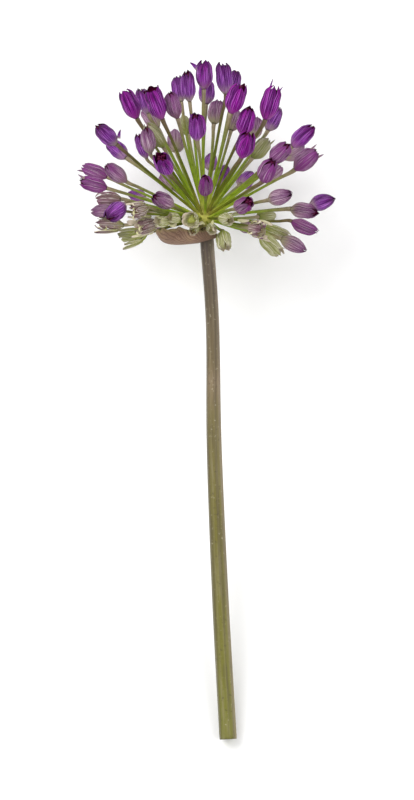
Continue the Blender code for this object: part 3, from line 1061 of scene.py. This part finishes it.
def grow_pedicel(bloom, floret, seed):
    """The floret's stalk, from inside the receptacle to a round end inside the bud."""
    random = np.random.default_rng(PEDICEL_SEED + seed)
    inside = floret.line[0] - PEDICEL_ROOT * unit(floret.line[1] - floret.line[0])
    swell = floret.start + PEDICEL_TUCK / 2 * floret.axis
    beyond = floret.start + PEDICEL_TUCK * floret.axis
    line = np.vstack((inside, floret.line, swell, beyond))
    steps = np.linalg.norm(np.diff(line, axis=0), axis=1)
    share = np.concatenate(((0.0,), np.cumsum(steps))) / steps.sum()
    stops = np.column_stack((share, line))
    ripple = random.uniform(0, 6)
    foot = BUD_PROFILE[0][1] * floret.half_width
    neck = 1 - PEDICEL_TUCK / steps.sum()
    slim = min(PEDICEL_HALF_WIDTH, foot * 0.7)
    widths = (
        (0, slim * 0.85),
        (neck * 0.35, slim * 0.95),
        (neck * 0.80, slim * 1.05),
        (neck * 0.95, foot * 0.88),
        (neck, foot * 1.02),
        (1, foot * 0.9),
    )

    def radius(s, t):
        wide = through(t, widths) * np.clip((1 - t) / (0.3 * (1 - neck)), 0, 1) ** 0.5
        return wide * (1 + 0.06 * np.cos(3 * math.pi * s + ripple))

    across = unit(np.cross(line[-1] - line[0], (0.3, 0.2, 0.9)))
    shape = tube(partial(through, stops=stops), radius, across)
    bloom.patch(10, 34, shape, random.uniform(0, 1), finish=STALK)


def grow_floret(floret, seed):
    """A whole floret as one piece, as it grew."""
    lining = LINING if floret.look in (PURPLE, MAUVE) else PALE_LINING
    finishes = FINISHES[floret.look], lining, PEDICEL, STAMEN
    bloom = Growth(floret.name + "_bloom", floret.stage, *finishes)
    grow_tepals(bloom, floret, seed)
    grow_pedicel(bloom, floret, seed)
    if floret.mouth > STAMENS_SHOW:
        grow_stamens(bloom, floret, seed)
    if floret.loose > TEPALS_WITHER:
        grow_withered(bloom, floret, seed)
    grow_flicks(bloom, floret)
    bloom.grown(nodes=floret.nodes)


def ring_stops(rings):
    """Stops for the middle line and for the radius of a tube through these rings."""
    share = np.linspace(0, 1, len(rings))
    line = np.column_stack((share, stood_up(rings[:, :3])))
    return line, np.column_stack((share, rings[:, 3]))


# How fast the scape's middle line runs on past its cut: just enough for the cut face to
# know which way it looks.
PAST_CUT = 0.01


def grow_scape():
    """The stalk, with its ribs and its flat cut face."""
    line, wide = ring_stops(scape_rings[NECK_RING:])
    fall = unit(line[-1, 1:] - line[-2, 1:])

    def middle(t):
        past = np.clip(t - SHAFT, 0, 1)[:, None]
        return through(np.clip(t / SHAFT, 0, 1), line) + past * fall * PAST_CUT

    def radius(s, t):
        thick = through(np.clip(t / SHAFT, 0, 1), wide)
        thick = thick * (1 + 0.012 * np.cos(RIBS * math.pi * s))
        end = np.clip((t - SHAFT) / (1 - SHAFT), 0, 1)
        return thick * (1 - end)

    scape = Growth("scape_skin", "scape", SCAPE)
    scape.patch(44, 170, tube(middle, radius, FACE_OUT))
    scape.grown(nodes=("scape",))


def grow_receptacle():
    """The knobbly top of the scape, as far as a ring past its neck."""
    line, wide = ring_stops(scape_rings[: NECK_RING + 2])

    def radius(s, t):
        lumps = 1 + 0.03 * np.cos(9 * math.pi * s) * np.sin(14 * t)
        return through(t, wide) * lumps * np.clip(t / 0.08, 0, 1) ** 0.5

    dome = Growth("receptacle", "scape", RECEPTACLE)
    dome.patch(40, 30, tube(partial(through, stops=line), radius, FACE_OUT))
    dome.grown()


# The spathe's place across the head, and how far round the neck it reaches, in degrees,
# to each side of its middle, which is counted from the left towards the upper face.
SPATHE_U = 0.9
SPATHE_REACH = 127.5
SPATHE_MIDDLE = 20
SPATHE_FOOT_RADIUS = 3.15
SPATHE_WALL = 0.16
SPATHE_SEED = 5


def grow_spathe():
    """A folded paper cup round the neck that spreads far out on the left, where its rim is
    frayed."""
    random = np.random.default_rng(SPATHE_SEED)
    phases = random.uniform(0, 2 * math.pi, 6)

    def shape(s, t):
        turn = np.radians(SPATHE_MIDDLE + SPATHE_REACH * s)
        left = np.clip(np.cos(turn), 0, None)
        fray = np.sin(19 * turn + phases[4]) + 0.7 * np.sin(33 * turn + phases[5])
        fray = fray * left**3
        foot = -7.9 - 0.9 * np.cos(turn)
        rim = -5.0 + 0.6 * np.cos(turn) + 0.9 * np.sin(turn)
        rim = rim + 0.45 * np.sin(5 * turn + phases[0]) + 0.25 * np.sin(13 * turn + phases[1])
        rim = rim + 0.45 * fray

        arc = t * math.pi / 2
        folds = np.sin(9 * turn + 3 * t + phases[2])
        folds = folds + 0.6 * np.sin(21 * turn - 5 * t + phases[3])
        spread = 4.4 + 13.0 * left**1.6 - SPATHE_FOOT_RADIUS
        radius = SPATHE_FOOT_RADIUS + spread * np.sin(arc) ** 0.9
        radius = radius + 0.16 * folds * t * (1 + left) + 0.6 * fray * t**6
        sag = 0.9 * np.sin(math.pi * t) * left
        u = SPATHE_U - radius * np.cos(turn)
        v = foot + (rim - foot) * (1 - np.cos(arc)) ** 1.2 - sag + 0.12 * folds * t
        return np.column_stack((u, v, radius * np.sin(turn)))

    spathe = Growth("spathe_paper", "spathe", SPATHE)
    spathe.patch(110, 30, shape)
    spathe.grown(SPATHE_WALL, nodes=("spathe",))


# The table, the light and the camera.

# In metres.
TABLE_HALF_WIDTH = 3.0
# What the camera sees, in the flower's frame, and how far away it is.
FRAME_HEIGHT = 280.0
FRAME_MIDDLE = np.array((1.05, -63.7, 0.0))
CAMERA_DISTANCE = 6000.0
ROOM_LIGHT = 0.7
# Each soft light's place and width, in metres, and its watts.
LIGHTS = {
    "key": ((-0.7, 0.5, 1.1), 1.1, 14.0),
    "fill": ((0.8, -0.2, 0.9), 0.8, 5.0),
}


def lay_table():
    """A plain, pale, dull table."""
    table = bmesh.new()
    bmesh.ops.create_grid(table, x_segments=1, y_segments=1, size=TABLE_HALF_WIDTH)
    data = bpy.data.meshes.new("table")
    table.to_mesh(data)
    table.free()
    finish = bpy.data.materials.new("table")
    finish.use_nodes = True
    shader = finish.node_tree.nodes["Principled BSDF"]
    shader.inputs["Base Color"].default_value = (0.95, 0.95, 0.95, 1.0)
    shader.inputs["Roughness"].default_value = 0.9
    data.materials.append(finish)
    put("table", data)


def light_room():
    """White light from all round, and two soft lights that face the flower."""
    world = bpy.data.worlds.new("soft room")
    world.use_nodes = True
    sky = world.node_tree.nodes["Background"]
    sky.inputs["Color"].default_value = (1, 1, 1, 1)
    sky.inputs["Strength"].default_value = ROOM_LIGHT
    bpy.context.scene.world = world
    for name, (place, width, watts) in LIGHTS.items():
        light = bpy.data.lights.new(name, "AREA")
        light.size, light.energy = width, watts
        lamp = put(name, light)
        lamp.location = place
        lamp.rotation_euler = (-Vector(place)).to_track_quat("-Z", "Y").to_euler()


def place_camera():
    """A long lens that looks straight down on the head's upper face."""
    camera = bpy.data.cameras.new("camera")
    camera.lens = camera.sensor_width * CAMERA_DISTANCE / FRAME_HEIGHT
    camera.clip_end = 10.0
    viewer = put("camera", camera)
    turned = Matrix(AXES.T.tolist()).to_4x4()
    at = lay_down(FRAME_MIDDLE + CAMERA_DISTANCE * FACE_OUT)
    viewer.matrix_world = Matrix.Translation(at) @ turned
    bpy.context.scene.camera = viewer


bpy.context.scene.view_settings.view_transform = "Standard"
lay_table()
light_room()
place_camera()
grow_scape()
grow_receptacle()
grow_spathe()
grow_curls()
for seed, floret in enumerate(fill_between(read_florets())):
    grow_floret(floret, seed)
